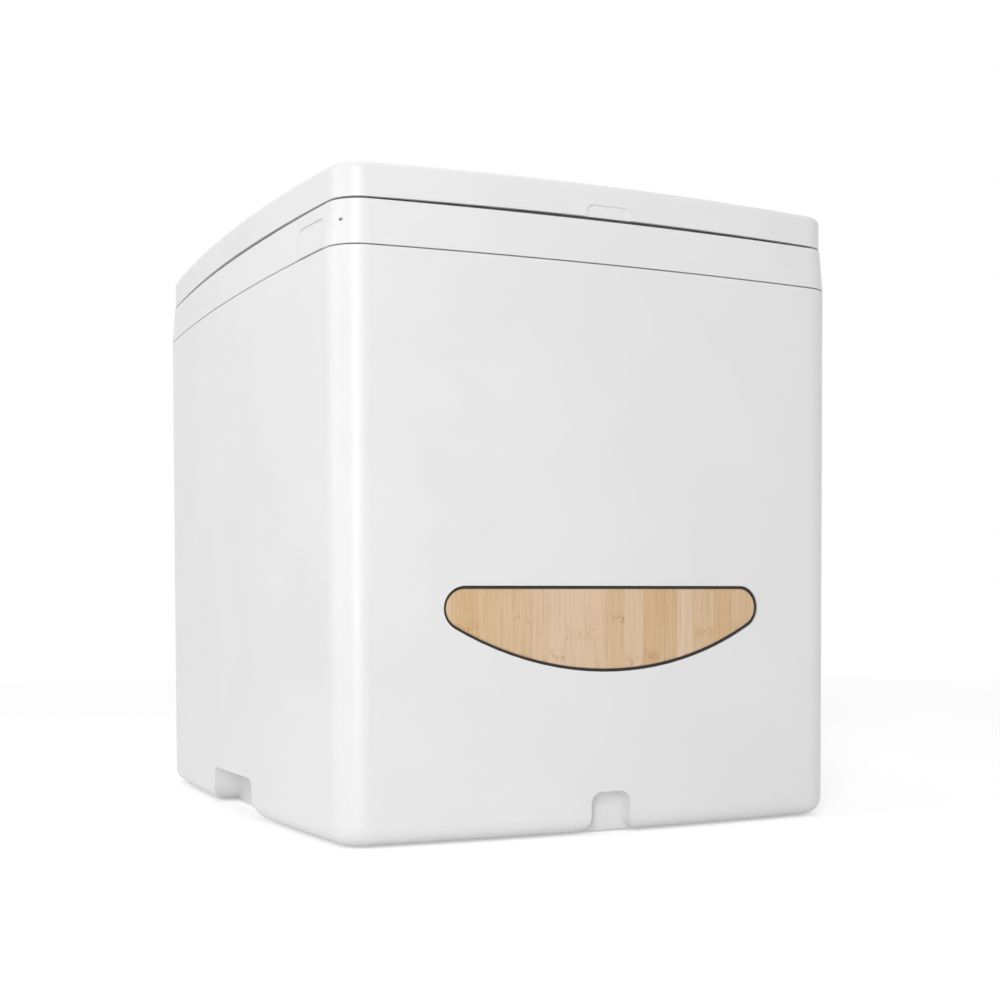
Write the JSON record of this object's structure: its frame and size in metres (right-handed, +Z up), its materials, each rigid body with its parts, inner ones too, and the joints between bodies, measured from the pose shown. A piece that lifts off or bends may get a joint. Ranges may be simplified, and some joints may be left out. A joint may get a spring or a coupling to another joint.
{
  "type": "portable dry toilet",
  "caption": "Portable box toilet with a lid that closes on a seal, a hinged top frame, a separating bowl, a liquid tank and a solids bin.",
  "frame": {"origin": "centre of the bounding box on the surface that the feet stand on", "axes": "+Z up, front faces -Y, +X to the right of someone who faces the front"},
  "size_m": [0.401, 0.469, 0.4404],
  "materials": {
    "white_shell": "satin moulded",
    "grey_bowl": "polished moulded",
    "bamboo": "oiled satin",
    "dark_rubber": "matte",
    "grey_rubber": "matte",
    "tank_plastic": "blow moulded",
    "dark_plastic": "matte moulded",
    "bin_plastic": "matte moulded",
    "filter_felt": "carbon felt",
    "steel": "brushed"
  },
  "bodies": {
    "housing": {"outer_body": "white_shell", "feet": "dark_rubber", "bamboo_panel": "bamboo", "panel_gasket": "dark_rubber", "frame_seal": "grey_rubber", "liquid_tank": "tank_plastic", "cap_seal": "grey_rubber", "drain_seal": "grey_rubber", "solids_bin": "bin_plastic", "bag_ring": "dark_plastic", "fan_frame": "dark_plastic", "power_inlet": "dark_plastic", "hinge_leaf_lower_left": "steel", "hinge_leaf_lower_right": "steel", "hinge_screws_lower": "steel", "frame_hinge_pins": "steel"},
    "fan": {"fan_rotor": "dark_plastic"},
    "cap": {"tank_cap": "dark_plastic"},
    "cover": {"filter_cover": "white_shell", "carbon_filter": "filter_felt"},
    "frame": {"top_frame": "white_shell", "seat": "white_shell", "bowl": "grey_bowl", "bowl_gasket": "grey_rubber", "hinge_leaf_upper_left": "steel", "hinge_leaf_upper_right": "steel", "hinge_screws_upper": "steel", "latch_pins": "steel", "lid_posts": "white_shell", "lid_pins": "steel"},
    "left_latch": {"latch_left": "white_shell"},
    "right_latch": {"latch_right": "white_shell"},
    "lid": {"lid_shell": "white_shell", "lid_liner": "white_shell", "lid_seal": "grey_rubber", "lid_bumpers": "grey_rubber"}
  },
  "joints": [
    {"name": "frame_hinge", "type": "hinge", "parent": "housing", "child": "frame", "pos_m": [0, 0.23035, 0.384], "axis": [-1, 0, 0], "range_deg": [0, 75]},
    {"name": "lid_hinge", "type": "hinge", "parent": "frame", "child": "lid", "pos_m": [0, 0.21045, 0.4262], "axis": [-1, 0, 0], "range_deg": [0, 100]},
    {"name": "left_latch_press", "type": "hinge", "parent": "frame", "child": "left_latch", "pos_m": [-0.18574, -0.178, 0.4], "axis": [0, -1, 0], "range_deg": [0, 6], "stiffness_Nm_per_rad": 0.5, "springref_deg": -5.73},
    {"name": "right_latch_press", "type": "hinge", "parent": "frame", "child": "right_latch", "pos_m": [0.18574, -0.178, 0.4], "axis": [0, 1, 0], "range_deg": [0, 6], "stiffness_Nm_per_rad": 0.5, "springref_deg": -5.73},
    {"name": "fan_spin", "type": "hinge", "parent": "housing", "child": "fan", "pos_m": [-0.1305, 0.2058, 0.336], "axis": [0, 1, 0], "continuous": true},
    {"name": "tank_cap_turn", "type": "hinge", "parent": "housing", "child": "cap", "pos_m": [-0.1055, -0.1433, 0.255], "axis": [0, 0, 1], "range_deg": [0, 120]},
    {"name": "filter_cover_pull", "type": "slide", "parent": "housing", "child": "cover", "axis": [0, 1, 0], "range_m": [0, 0.03]}
  ]
}
